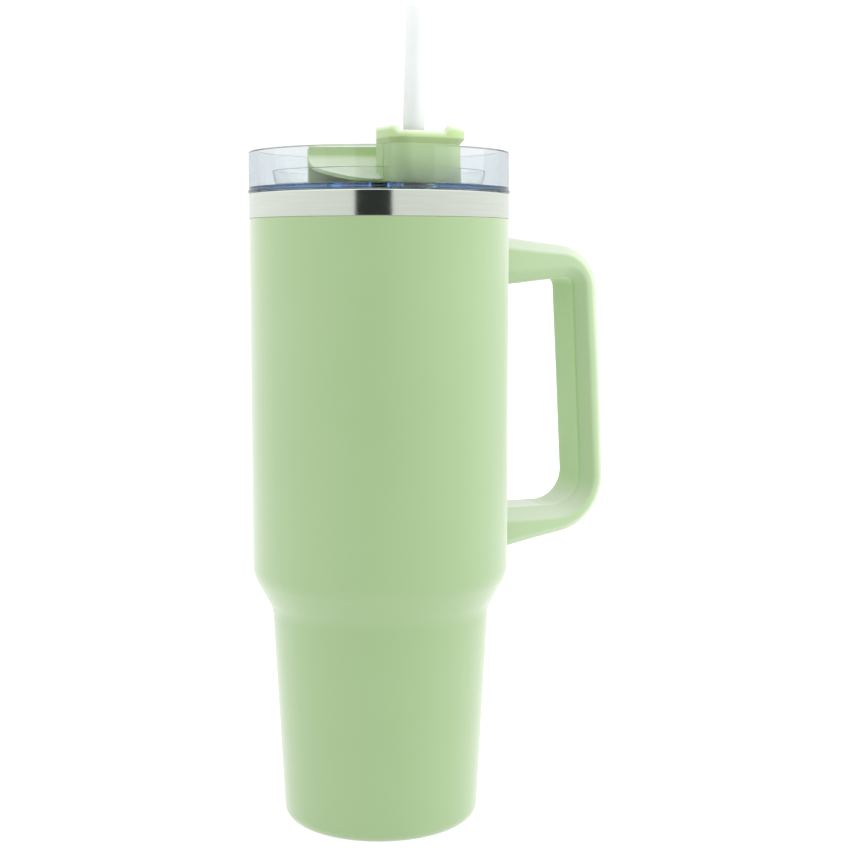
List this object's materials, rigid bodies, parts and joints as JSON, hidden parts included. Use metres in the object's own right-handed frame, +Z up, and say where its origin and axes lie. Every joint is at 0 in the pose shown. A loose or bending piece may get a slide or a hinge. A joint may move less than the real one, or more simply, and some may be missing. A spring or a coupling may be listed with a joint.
{
  "type": "insulated travel mug",
  "caption": "Tall insulated steel travel mug with a side handle, a clear lid with a rotating cover, and a drinking straw.",
  "frame": {"origin": "on the cup's axis, on the flat underside of the base cap that the mug stands on", "axes": "+Z up along the cup's axis, +X towards the handle, -Y towards the straw side"},
  "size_m": [0.1386, 0.0986, 0.3066],
  "materials": {
    "coated_steel": "satin powder coat",
    "polished_steel": "polished",
    "raw_steel": "stamped",
    "seal_glass": "fused glass",
    "getter_metal": "sintered",
    "handle_plastic": "satin",
    "grip_rubber": "soft touch",
    "clear_plastic": "clear",
    "cover_plastic": "semi-gloss",
    "silicone": "matt translucent",
    "straw_plastic": "frosted translucent"
  },
  "bodies": {
    "mug": {"outer_shell": "coated_steel", "inner_liner": "polished_steel", "base_cap": "raw_steel", "outer_bottom": "raw_steel", "vacuum_seal": "seal_glass", "getter": "getter_metal", "upper_handle_bracket": "raw_steel", "lower_handle_bracket": "raw_steel", "handle_frame": "handle_plastic", "handle_grip": "grip_rubber", "upper_handle_screw": "raw_steel", "lower_handle_screw": "raw_steel"},
    "lid": {"lid_body": "clear_plastic", "lid_gasket": "silicone", "straw_grommet": "silicone", "pivot_pin": "cover_plastic", "pivot_clip": "raw_steel"},
    "cover": {"rotating_cover": "cover_plastic", "drink_seal": "silicone"},
    "straw": {"straw": "straw_plastic"}
  },
  "joints": [
    {"name": "lid_lift", "type": "slide", "parent": "mug", "child": "lid", "axis": [0, 0, 1], "range_m": [0, 0.24]},
    {"name": "cover_turn", "type": "hinge", "parent": "lid", "child": "cover", "pos_m": [0, 0, 0.25], "axis": [0, 0, 1], "range_deg": [-110, 0]},
    {"name": "straw_lift", "type": "slide", "parent": "lid", "child": "straw", "axis": [0.029, 0, 0.9996], "range_m": [0, 0.235]}
  ]
}
